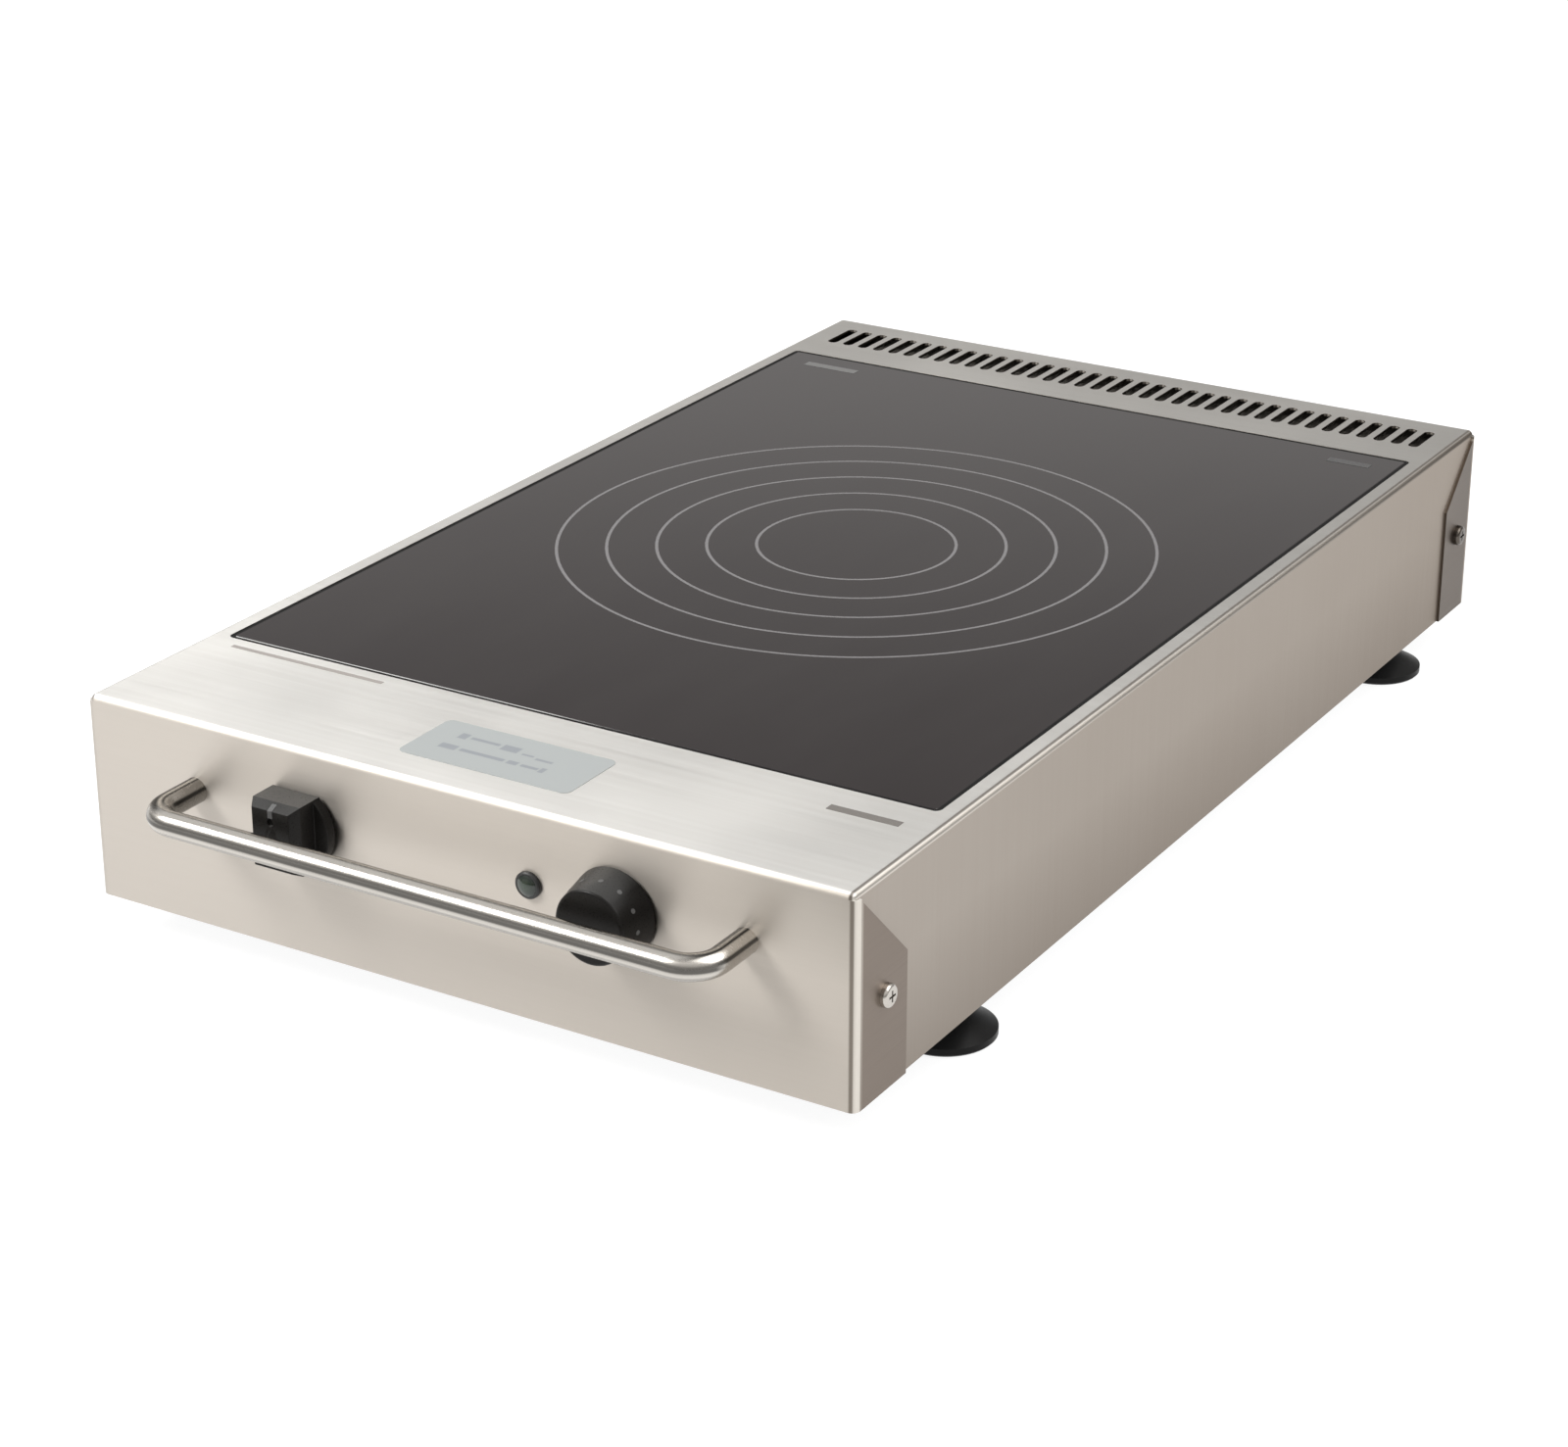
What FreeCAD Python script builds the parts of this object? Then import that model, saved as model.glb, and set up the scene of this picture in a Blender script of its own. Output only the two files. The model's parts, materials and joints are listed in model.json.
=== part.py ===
"""Counter-top induction hob: a folded stainless case with one round cooking zone.

Origin: middle of the bounding box's footprint, on the surface that the feet stand on.
X runs to the right, Y to the rear (the control panel faces -Y), Z up. Millimetres.
"""
import FreeCAD, Part
import os
from math import atan, cos, sin, pi
from FreeCAD import Vector

# Case
CASE_W = 400.0
CASE_D = 675.0
CASE_H = 100.0
SHEET = 1.5
BEND_R = 3.0
CORNER_R = 4.0
FOOT_H = 20.0
HANDLE_REACH = 40.0
GLAND_REACH = 25.0
FRONT_Y = HANDLE_REACH - (HANDLE_REACH + CASE_D + GLAND_REACH) / 2
REAR_Y = FRONT_Y + CASE_D
MID_Y = (FRONT_Y + REAR_Y) / 2
HALF_W = CASE_W / 2
CASE_Z = FOOT_H
DECK_Z = CASE_Z + CASE_H
TRAY_Z = CASE_Z + SHEET
TRAY_TOP = TRAY_Z + SHEET

# Folded side tabs of the front and rear aprons, one screw in each
FRONT_TAB = 42.0
REAR_TAB = 37.0
TAB_SCREW_Z = CASE_Z + 45.0
TAB_SCREW_R = 2.5
TAB_HEAD_R = 5.4
FRONT_SCREW_Y = FRONT_Y + 24.0
REAR_SCREW_Y = REAR_Y - 19.0
TRAY_WALL_Z = CASE_Z + 62.0
RETURN_W = 16.0

# Glass, flush in the deck
OPEN_W = 381.0
OPEN_D = 520.0
OPEN_R = 3.2
GLASS_Y = FRONT_Y + 347.0
GLASS_T = 6.0
SEAL_W = 2.2
BEDDING = 0.5
GLASS_W = OPEN_W - 2 * SEAL_W
GLASS_D = OPEN_D - 2 * SEAL_W
GLASS_BOTTOM = DECK_Z - GLASS_T
LEDGE_TOP = GLASS_BOTTOM - BEDDING
LEDGE_W = 12.0
RING_PITCH = 25.0
RING_RADII = [RING_PITCH * n for n in range(2, 7)]
RING_LINE = 1.6
GLASS_MARK_D = 6.0
INK = 0.12

# Outlet slots in the rear of the deck
SLOT_COUNT = 37
SLOT_PITCH = 10.08
SLOT_W = 6.0
SLOT_L = 28.0
SLOT_Y = FRONT_Y + 644.5

# Control panel
CONTROL_Z = CASE_Z + 64.0
SWITCH_X = -81.5
POWER_X = 85.0
LAMP_X = 41.0
LAMP_Z = CASE_Z + 65.0
KNOB_R = 20.4
KNOB_GAP = 1.5
KNOB_REACH = 20.5
LABEL_W = 90.0
LABEL_D = 40.0
LABEL_X = 2.0
LABEL_Y = FRONT_Y + 41.0
FILM = 0.2

# Handle
ROD_R = 6.0
HANDLE_SPAN = 289.0
HANDLE_X = 4.5
HANDLE_Z = CASE_Z + 66.5
HANDLE_BEND = 14.0
BAR_Y = FRONT_Y - HANDLE_REACH + ROD_R

# Coil stack, hung close under the glass
FELT_T = 2.5
COIL_T = 4.0
WIRE_W = 3.6
TURN_PITCH = 4.2
COIL_IN = 32.0
COIL_TURNS = 24
CARRIER_R = 145.0
CARRIER_T = 4.0
FERRITE_T = 6.0
FELT_Z = GLASS_BOTTOM - FELT_T
COIL_Z = FELT_Z - COIL_T
CARRIER_Z = COIL_Z - CARRIER_T
FERRITE_Z = CARRIER_Z - FERRITE_T
SHIELD_Z = FERRITE_Z - SHEET
SHIELD_W = 350.0
SHIELD_D = 300.0
PILLAR_X = 165.0
PILLAR_DY = 130.0

# Fans and duct on the tray
FAN_X = 78.0
FAN_Y = FRONT_Y + 160.0
FAN_SIZE = 120.0
FAN_T = 25.0
FAN_BORE_R = 57.0
FAN_HUB_R = 19.0
ROTOR_GAP = 1.0
FAN_SHAFT_R = 1.5
RUNNING = 0.05
DUCT_HALF = 152.0
DUCT_TOP = TRAY_TOP + 66.0
DUCT_FRONT = FRONT_Y + 92.0
DUCT_REAR = FRONT_Y + 560.0

# Power electronics in the duct
BOARD_W = 250.0
BOARD_D = 200.0
BOARD_T = 1.6
BOARD_Y = FRONT_Y + 355.0
BOARD_Z = TRAY_TOP + 10.0
SINK_W = 130.0
SINK_D = 170.0
SINK_X = -50.0
SINK_BASE = 6.0
SINK_H = 42.0
FIN_COUNT = 16
FIN_T = 2.0

# Feet
FOOT_X = 180.0
FOOT_YS = [FRONT_Y + 115.0, FRONT_Y + 603.0]
PAD_R = 24.0
STEM_R = 5.0
INSERT_L = 16.0

# Rear fittings
GLAND_X = 120.0
GLAND_Z = CASE_Z + 38.0
GLAND_R = 10.0
CABLE_R = 4.5
BOND_X = -150.0
BOND_Z = CASE_Z + 30.0
BOND_R = 3.0
BOND_NECK_R = 2.6
BOND_FREE = 6.6


def box(x0, x1, y0, y1, z0, z1):
    return Part.makeBox(x1 - x0, y1 - y0, z1 - z0, Vector(x0, y0, z0))


def centred_box(width, depth, z0, z1, x=0.0, y=0.0):
    return box(x - width / 2, x + width / 2, y - depth / 2, y + depth / 2, z0, z1)


def disc(radius, z0, z1, x=0.0, y=0.0):
    return Part.makeCylinder(radius, z1 - z0, Vector(x, y, z0))


def ring(outer, inner, z0, z1, x=0.0, y=0.0):
    return disc(outer, z0, z1, x, y).cut(disc(inner, z0 - 1, z1 + 1, x, y))


def plate(width, depth, corner, z0, z1, x=0.0, y=0.0):
    """A flat plate with rounded corners."""
    blank = centred_box(width, depth, z0, z1, x, y)
    upright = [edge for edge in blank.Edges if abs(edge.BoundBox.ZLength - (z1 - z0)) < 1e-6]
    return blank.makeFillet(corner, upright)


def hexagon(across_flats, z0, z1, x=0.0, y=0.0):
    """A hexagonal prism, two flats facing X."""
    reach = across_flats / 2 / cos(pi / 6)
    points = []
    for n in range(7):
        angle = pi / 6 + n * pi / 3
        points.append(Vector(x + reach * cos(angle), y + reach * sin(angle), z0))
    return Part.Face(Part.makePolygon(points)).extrude(Vector(0, 0, z1 - z0))


def revolve(profile):
    """Turn a closed outline of (radius, height) points about Z."""
    points = [Vector(radius, 0, height) for radius, height in profile]
    face = Part.Face(Part.makePolygon(points + points[:1]))
    return face.revolve(Vector(0, 0, 0), Vector(0, 0, 1), 360)


def fuse(shapes):
    return shapes[0].multiFuse(shapes[1:]).removeSplitter()


def group(shapes):
    return Part.makeCompound(shapes)


def moved(shape, x=0.0, y=0.0, z=0.0):
    copy = shape.copy()
    copy.translate(Vector(x, y, z))
    return copy


def turned(shape, axis, degrees, x=0.0, y=0.0, z=0.0):
    copy = shape.copy()
    copy.rotate(Vector(x, y, z), axis, degrees)
    return copy


def on_front(shape, x, z):
    """Stand a shape modelled with +Z outwards on the front panel."""
    return moved(turned(shape, Vector(1, 0, 0), 90), x, FRONT_Y, z)


def on_rear(shape, x, z):
    """Stand a shape modelled with +Z outwards on the rear panel."""
    return moved(turned(shape, Vector(1, 0, 0), -90), x, REAR_Y, z)


def on_side(shape, side, y, z):
    """Stand a shape modelled with +Z outwards on a side panel, side being +1 or -1."""
    return moved(turned(shape, Vector(0, 1, 0), 90 * side), side * HALF_W, y, z)


def corners(half_x, half_y, x=0.0, y=0.0):
    return [(x + sx * half_x, y + sy * half_y) for sx in (-1, 1) for sy in (-1, 1)]


# --- sheet metal case ---------------------------------------------------------------------------

def folded_box(inset, radius):
    """The rounded block that bounds one face of the folded sheet; its base runs below the case."""
    half = HALF_W - inset
    block = box(-half, half, FRONT_Y + inset, REAR_Y - inset, CASE_Z - inset, DECK_Z - inset)
    bottom = block.BoundBox.ZMin
    bends = [edge for edge in block.Edges if edge.BoundBox.ZMax > bottom + 1]
    return block.makeFillet(radius, bends)


def corner_wrap(front):
    """One apron's wide outer skin, whose ends fold back over the side panels as cut tabs."""
    reach = FRONT_TAB if front else REAR_TAB
    half = HALF_W + SHEET
    outer = box(-half, half, 0, reach, CASE_Z, DECK_Z - BEND_R)
    folds = [edge for edge in outer.Edges if edge.BoundBox.ZLength > 1 and edge.BoundBox.YMax < 1]
    outer = outer.makeFillet(CORNER_R, folds)
    inner = box(-HALF_W, HALF_W, SHEET, reach + 1, CASE_Z - 1, DECK_Z)
    skin = outer.cut(inner)
    cut_off = Part.Face(Part.makePolygon([
        Vector(-half - 1, CORNER_R, DECK_Z),
        Vector(-half - 1, reach + 1, DECK_Z),
        Vector(-half - 1, reach + 1, DECK_Z - reach - 1),
        Vector(-half - 1, CORNER_R, DECK_Z - CORNER_R),
        Vector(-half - 1, CORNER_R, DECK_Z),
    ])).extrude(Vector(2 * half + 2, 0, 0))
    skin = skin.cut(cut_off)
    if front:
        return moved(skin, 0, FRONT_Y, 0)
    return moved(turned(skin, Vector(0, 0, 1), 180), 0, REAR_Y, 0)


def outlet_slots():
    """The row of rounded slots, as one cutting tool."""
    slots = []
    for n in range(SLOT_COUNT):
        x = (n - (SLOT_COUNT - 1) / 2) * SLOT_PITCH
        straight = SLOT_L - SLOT_W
        slot = centred_box(SLOT_W, straight, DECK_Z - 4, DECK_Z + 1, x, SLOT_Y)
        ends = [disc(SLOT_W / 2, DECK_Z - 4, DECK_Z + 1, x, SLOT_Y + s * straight / 2) for s in (-1, 1)]
        slots.append(fuse([slot] + ends))
    return group(slots)


def panel_holes():
    """Holes through the front, rear and side panels for the fittings."""
    tools = [
        on_front(disc(6.5, -4, 4), SWITCH_X, CONTROL_Z),
        on_front(disc(3.7, -4, 4), POWER_X, CONTROL_Z),
        on_front(disc(5.6, -4, 4), LAMP_X, LAMP_Z),
        on_rear(disc(GLAND_R, -4, 4), GLAND_X, GLAND_Z),
        on_rear(disc(BOND_NECK_R, -4, 4), BOND_X, BOND_Z),
    ]
    for side in (-1, 1):
        tools.append(on_front(disc(3.0, -4, 4), HANDLE_X + side * HANDLE_SPAN / 2, HANDLE_Z))
        for y in (FRONT_SCREW_Y, REAR_SCREW_Y):
            tools.append(on_side(disc(TAB_SCREW_R, -4, 4), side, y, TAB_SCREW_Z))
    return tools


def top_cover():
    shell = folded_box(0, BEND_R).cut(folded_box(SHEET, BEND_R - SHEET))
    shell = shell.common(box(-HALF_W, HALF_W, FRONT_Y, REAR_Y, CASE_Z, DECK_Z))
    inner = HALF_W - SHEET
    front_return = box(-inner, inner, FRONT_Y + SHEET, FRONT_Y + RETURN_W, CASE_Z, CASE_Z + SHEET)
    rear_return = box(-inner, inner, REAR_Y - RETURN_W, REAR_Y - SHEET, CASE_Z, CASE_Z + SHEET)
    cover = fuse([shell, corner_wrap(True), corner_wrap(False), front_return, rear_return])
    opening = plate(OPEN_W, OPEN_D, OPEN_R, DECK_Z - 4, DECK_Z + 1, 0, GLASS_Y)
    tools = [opening, outlet_slots()] + panel_holes()
    for x, y in base_screw_places():
        tools.append(disc(2.0, CASE_Z - 1, CASE_Z + 2 * SHEET, x, y))
    for tool in tools:
        cover = cover.cut(tool)
    return cover


def base_screw_places():
    rows = (FRONT_Y + RETURN_W / 2 + 1, REAR_Y - RETURN_W / 2 - 1)
    return [(x, y) for x in (-150.0, 0.0, 150.0) for y in rows]


def base_tray():
    """Bottom plate with upstands inside the side panels and a round inlet under each fan."""
    gap = 0.2
    half = HALF_W - SHEET - gap
    floor = plate(2 * half, CASE_D - 2 * (SHEET + gap), BEND_R, TRAY_Z, TRAY_TOP, 0, MID_Y)
    walls = []
    for side in (-1, 1):
        x0, x1 = sorted((side * half, side * (half - SHEET)))
        walls.append(box(x0, x1, FRONT_Y + 4, REAR_Y - 4, TRAY_Z, TRAY_WALL_Z))
    tray = fuse([floor] + walls)
    for side in (-1, 1):
        tray = tray.cut(disc(FAN_BORE_R, TRAY_Z - 1, TRAY_TOP + 1, side * FAN_X, FAN_Y))
        for y in FOOT_YS:
            tray = tray.cut(disc(6.5, TRAY_Z - 1, TRAY_TOP + 1, side * FOOT_X, y))
        for y in (FRONT_SCREW_Y, REAR_SCREW_Y):
            tray = tray.cut(on_side(disc(TAB_SCREW_R, -6, 1), side, y, TAB_SCREW_Z))
    for x, y in base_screw_places():
        tray = tray.cut(disc(2.0, TRAY_Z - 1, TRAY_TOP + 1, x, y))
    return tray


def glass_frame():
    """Angle frame welded under the deck, whose ledge carries the glass."""
    wall_out = 2 * 2.0
    wall_w = OPEN_W + wall_out + 2 * SHEET
    wall_d = OPEN_D + wall_out + 2 * SHEET
    low = LEDGE_TOP - SHEET
    block = plate(wall_w, wall_d, 3, low, DECK_Z - SHEET, 0, GLASS_Y)
    hollow = centred_box(OPEN_W + wall_out, OPEN_D + wall_out, LEDGE_TOP, DECK_Z, 0, GLASS_Y)
    window = centred_box(OPEN_W - 2 * LEDGE_W, OPEN_D - 2 * LEDGE_W, low - 1, DECK_Z, 0, GLASS_Y)
    return block.cut(hollow).cut(window)


def glass_plate():
    """Glass with a ground edge and a shallow groove for each enamel ring."""
    glass = plate(GLASS_W, GLASS_D, OPEN_R - SEAL_W, GLASS_BOTTOM, DECK_Z, 0, GLASS_Y)
    rim = [edge for edge in glass.Edges if edge.BoundBox.ZMin > DECK_Z - 1e-3]
    return glass.makeChamfer(0.4, rim).cut(zone_rings())


def glass_seal():
    """Silicone joint: a bead round the glass and a bed of it on the ledge."""
    outer = plate(OPEN_W, OPEN_D, OPEN_R, LEDGE_TOP, DECK_Z - 0.2, 0, GLASS_Y)
    glass = plate(GLASS_W, GLASS_D, OPEN_R - SEAL_W, GLASS_BOTTOM, DECK_Z, 0, GLASS_Y)
    window = centred_box(GLASS_W - 18, GLASS_D - 18, LEDGE_TOP - 1, DECK_Z, 0, GLASS_Y)
    return outer.cut(glass).cut(window)


def zone_rings():
    """Enamel rings that mark the cooking zone, fired into the glass and flush with it."""
    half = RING_LINE / 2
    return group([ring(r + half, r - half, DECK_Z - INK, DECK_Z, 0, GLASS_Y) for r in RING_RADII])


def printed_marks():
    """Plain bars in place of every printed word, on the deck and the glass."""
    marks = [
        centred_box(87, 2.6, DECK_Z, DECK_Z + INK, -137.5, FRONT_Y + 79),
        centred_box(35, 5.0, DECK_Z, DECK_Z + INK, 165.5, FRONT_Y + 68),
    ]
    for x, width in ((-156.5, 33), (163, 24)):
        marks.append(centred_box(width, GLASS_MARK_D, DECK_Z, DECK_Z + INK, x, FRONT_Y + 588.5))
    return group(marks)


def control_label():
    return plate(LABEL_W, LABEL_D, 4, DECK_Z, DECK_Z + FILM, LABEL_X, LABEL_Y)


def pan_screw(radius, head_r, head_h, length):
    """A pan-head screw along Z: head above zero, shank below, cross recess in the head."""
    head = disc(head_r, 0, head_h)
    rim = [edge for edge in head.Edges if edge.BoundBox.ZMin > head_h - 1e-3]
    head = head.makeFillet(head_h * 0.55, rim)
    screw = fuse([head, disc(radius, -length, 0)])
    for width, depth in ((head_r, 1.0), (1.0, head_r)):
        screw = screw.cut(centred_box(width, depth, head_h * 0.45, head_h + 1))
    return screw


def tab_screws():
    screw = moved(pan_screw(TAB_SCREW_R, TAB_HEAD_R, 3.2, 9.0), 0, 0, SHEET)
    return group([on_side(screw, side, y, TAB_SCREW_Z)
                  for side in (-1, 1) for y in (FRONT_SCREW_Y, REAR_SCREW_Y)])


def base_screws():
    screw = turned(pan_screw(2.0, 4.0, 2.4, 7.0), Vector(1, 0, 0), 180)
    return group([moved(screw, x, y, CASE_Z) for x, y in base_screw_places()])


# --- handle --------------------------------------------------------------------------------------

def rod_bend(side):
    """Quarter bend at one end of the bar, from the bar round to the arm."""
    section = Part.Face(Part.Wire(Part.makeCircle(ROD_R, Vector(0, -HANDLE_BEND, 0), Vector(1, 0, 0))))
    quarter = section.revolve(Vector(0, 0, 0), Vector(0, 0, 1), 90 * side)
    x = HANDLE_X + side * (HANDLE_SPAN / 2 - HANDLE_BEND)
    return moved(quarter, x, BAR_Y + HANDLE_BEND, HANDLE_Z)


def handle():
    """Round rod with two bends; each end butts on the front panel and is tapped for a screw."""
    half = HANDLE_SPAN / 2
    bar_end = half - HANDLE_BEND
    arm_l = FRONT_Y - BAR_Y - HANDLE_BEND
    start = Vector(HANDLE_X - bar_end, BAR_Y, HANDLE_Z)
    bar = Part.makeCylinder(ROD_R, 2 * bar_end, start, Vector(1, 0, 0))
    pieces = [bar]
    for side in (-1, 1):
        arm = on_front(disc(ROD_R, 0, arm_l), HANDLE_X + side * half, HANDLE_Z)
        pieces.extend([rod_bend(side), arm])
    rod = fuse(pieces)
    for side in (-1, 1):
        rod = rod.cut(on_front(disc(3.0, -1, 12), HANDLE_X + side * half, HANDLE_Z))
    return rod


def handle_screws():
    """Hexagon bolts with washers, from inside the front panel."""
    bolt = fuse([hexagon(10, -SHEET - 5.5, -SHEET - 1.5), disc(3.0, -SHEET - 1.5, 10)])
    washer = ring(6.5, 3.0, -SHEET - 1.5, -SHEET)
    parts = []
    for side in (-1, 1):
        x = HANDLE_X + side * HANDLE_SPAN / 2
        parts.append(on_front(bolt, x, HANDLE_Z))
        parts.append(on_front(washer, x, HANDLE_Z))
    return group(parts)


# --- controls ------------------------------------------------------------------------------------

SWITCH_SHAFT = 6.0
GRIP_W = 26.0
GRIP_H = 33.0
FACE_W = 20.0
FACE_H = 28.0
BEVEL_AT = 15.5
PIT_Y = 8.4
POINTER_W = 2.6
POINTER_FOOT = PIT_Y + 2.1
POINTER_DEEP = 0.8
POWER_FRONT_R = 17.0
DOT_OUT = 11.6
POT_SHAFT_R = 3.0


def rectangle_wire(width, height, z):
    x, y = width / 2, height / 2
    return Part.makePolygon([Vector(-x, -y, z), Vector(x, -y, z), Vector(x, y, z),
                             Vector(-x, y, z), Vector(-x, -y, z)])


def switch_knob():
    """Block grip with a bevelled face, on a round skirt cut flat above and below."""
    skirt = disc(KNOB_R, KNOB_GAP, 6.5).common(centred_box(2 * KNOB_R + 2, GRIP_H, 0, 30))
    grip = centred_box(GRIP_W, GRIP_H, KNOB_GAP, BEVEL_AT)
    bevel = Part.makeLoft([rectangle_wire(GRIP_W, GRIP_H, BEVEL_AT),
                           rectangle_wire(FACE_W, FACE_H, KNOB_REACH)], True, True)
    knob = fuse([skirt, grip, bevel])
    knob = knob.cut(centred_box(SWITCH_SHAFT + 0.1, SWITCH_SHAFT + 0.1, 0, 15))
    knob = knob.cut(disc(1.7, KNOB_REACH - 1.2, KNOB_REACH + 1, 0, PIT_Y))
    knob = knob.cut(pointer_prism())
    return on_front(knob, SWITCH_X, CONTROL_Z)


def pointer_prism():
    """Inlay on the upper bevel and the face, pointing up at the off position."""
    slope = (KNOB_REACH - BEVEL_AT) / (GRIP_H - FACE_H) * 2
    tip_y = GRIP_H / 2 - 0.6
    tip_z = KNOB_REACH - slope * (tip_y - FACE_H / 2)
    side = Part.makePolygon([
        Vector(0, POINTER_FOOT, KNOB_REACH),
        Vector(0, FACE_H / 2, KNOB_REACH),
        Vector(0, tip_y, tip_z),
        Vector(0, tip_y - POINTER_DEEP, tip_z),
        Vector(0, FACE_H / 2 - 0.4, KNOB_REACH - POINTER_DEEP),
        Vector(0, POINTER_FOOT, KNOB_REACH - POINTER_DEEP),
        Vector(0, POINTER_FOOT, KNOB_REACH),
    ])
    inlay = Part.Face(side).extrude(Vector(POINTER_W, 0, 0))
    return moved(inlay, -POINTER_W / 2, 0, 0)


def switch_pointer():
    return on_front(pointer_prism(), SWITCH_X, CONTROL_Z)


def switch_shaft():
    """Square switch shaft with a round journal that turns in the switch."""
    square = centred_box(SWITCH_SHAFT, SWITCH_SHAFT, -1, 14)
    return on_front(fuse([square, disc(5.0, -40, -1)]), SWITCH_X, CONTROL_Z)


def switch_body():
    """Rotary cam switch: front plate, three contact chambers and their screw terminals."""
    back = -SHEET
    solid = [centred_box(48, 48, back - 4, back), centred_box(42, 42, back - 46, back - 4)]
    for n in range(3):
        z = back - 12 - n * 13
        solid.append(centred_box(46, 30, z - 4.5, z + 4.5))
    body = fuse(solid).cut(disc(5.0 + RUNNING, -42, 1))
    return on_front(body, SWITCH_X, CONTROL_Z)


def power_knob():
    """Round knob: tapered flank and a flat face with a rounded edge."""
    knob = revolve([(0, KNOB_GAP), (KNOB_R, KNOB_GAP), (POWER_FRONT_R, KNOB_REACH), (0, KNOB_REACH)])
    rim = [edge for edge in knob.Edges if edge.BoundBox.ZMin > KNOB_REACH - 0.1]
    knob = knob.makeFillet(1.8, [edge for edge in rim if edge.BoundBox.XLength > POWER_FRONT_R])
    knob = knob.cut(disc(POT_SHAFT_R + RUNNING, 0, 14))
    knob = knob.cut(disc(8.0, 0, 6.5))
    return on_front(knob, POWER_X, CONTROL_Z)


def power_dots():
    """Round level dots pressed into the flank of the power knob, half-way along it."""
    taper = (KNOB_R - POWER_FRONT_R) / (KNOB_REACH - KNOB_GAP)
    radius = KNOB_R - taper * (DOT_OUT - KNOB_GAP)
    dots = []
    for n in range(11):
        dot = turned(disc(1.1, -0.6, 0.1), Vector(0, 1, 0), 90 - atan(taper) * 180 / pi)
        dot = turned(moved(dot, radius, 0, DOT_OUT), Vector(0, 0, 1), 30 * n - 2)
        dots.append(on_front(dot, POWER_X, CONTROL_Z))
    return group(dots)


def power_shaft():
    return on_front(disc(POT_SHAFT_R, -12, 13.5), POWER_X, CONTROL_Z)


def potentiometer():
    """Potentiometer case behind the panel, its threaded bush passing through it."""
    back = -SHEET
    body = fuse([disc(9.0, back - 12, back - 1), disc(3.6, back - 1, 5.5)])
    return on_front(body.cut(disc(POT_SHAFT_R + RUNNING, back - 11, 8)), POWER_X, CONTROL_Z)


def potentiometer_nut():
    nut = hexagon(10, 0, 2.4).cut(disc(3.6, -1, 4))
    return on_front(nut, POWER_X, CONTROL_Z)


def control_board():
    """Small board behind the panel, with a chip and a plug row, behind the potentiometer."""
    board = centred_box(70, 44, -24, -24 + BOARD_T)
    chip = centred_box(14, 8, -27, -24, 20, -10)
    plug_row = centred_box(20, 6, -30, -24, -18, 12)
    return on_front(fuse([board, chip, plug_row]), POWER_X + 12, CONTROL_Z)


def lamp_lens():
    """Domed lens of the pilot lamp."""
    lens = Part.makeSphere(9.0, Vector(0, 0, -5.4)).common(disc(4.9, 0.6, 6))
    return on_front(lens, LAMP_X, LAMP_Z)


def lamp_body():
    """Pilot lamp: flange on the panel, threaded barrel behind it and two blade terminals."""
    flange = disc(6.3, 0, 2.2)
    rim = [edge for edge in flange.Edges if edge.BoundBox.ZMin > 2.1]
    flange = flange.makeChamfer(0.7, rim)
    barrel = disc(5.5, -26, 0)
    blades = [centred_box(0.8, 4.8, -35, -26, x) for x in (-2.6, 2.6)]
    body = fuse([flange, barrel] + blades)
    return on_front(body.cut(disc(4.9, 0.6, 3)), LAMP_X, LAMP_Z)


def lamp_nut():
    nut = hexagon(15, -SHEET - 3.5, -SHEET).cut(disc(5.5, -10, 0))
    return on_front(nut, LAMP_X, LAMP_Z)


# --- induction coil stack ------------------------------------------------------------------------

def coil_winding():
    """Flat spiral of litz wire, drawn as half circles whose centres alternate."""
    halves = []
    for n in range(2 * COIL_TURNS):
        upper = n % 2 == 0
        radius = COIL_IN + (n + 0.5) * TURN_PITCH / 2
        centre = -TURN_PITCH / 4 if upper else TURN_PITCH / 4
        band = ring(radius + WIRE_W / 2, radius - WIRE_W / 2, COIL_Z, FELT_Z, centre, GLASS_Y)
        side = (GLASS_Y, GLASS_Y + 400) if upper else (GLASS_Y - 400, GLASS_Y)
        halves.append(band.common(box(-400, 400, side[0], side[1], COIL_Z, FELT_Z)))
    return fuse(halves)


def coil_carrier():
    """Moulded disc under the winding, with a centre hole for the sensor."""
    carrier = ring(CARRIER_R, 10.0, CARRIER_Z, COIL_Z, 0, GLASS_Y)
    for n in range(8):
        window = box(28, 44, -7, 7, CARRIER_Z - 1, COIL_Z + 1)
        window = moved(turned(window, Vector(0, 0, 1), 22.5 + 45 * n), 0, GLASS_Y, 0)
        carrier = carrier.cut(window)
    return carrier


def ferrite_bars():
    bars = []
    for n in range(8):
        bar = box(52, 134, -8, 8, FERRITE_Z, CARRIER_Z)
        bars.append(moved(turned(bar, Vector(0, 0, 1), 45 * n), 0, GLASS_Y, 0))
    return group(bars)


def insulation_disc():
    return ring(CARRIER_R, 10.0, FELT_Z, GLASS_BOTTOM, 0, GLASS_Y)


def shield_plate():
    shield = plate(SHIELD_W, SHIELD_D, 10, SHIELD_Z, FERRITE_Z, 0, GLASS_Y)
    for x, y in corners(PILLAR_X, PILLAR_DY, 0, GLASS_Y):
        shield = shield.cut(disc(2.1, SHIELD_Z - 1, FERRITE_Z + 1, x, y))
    return shield


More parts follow.
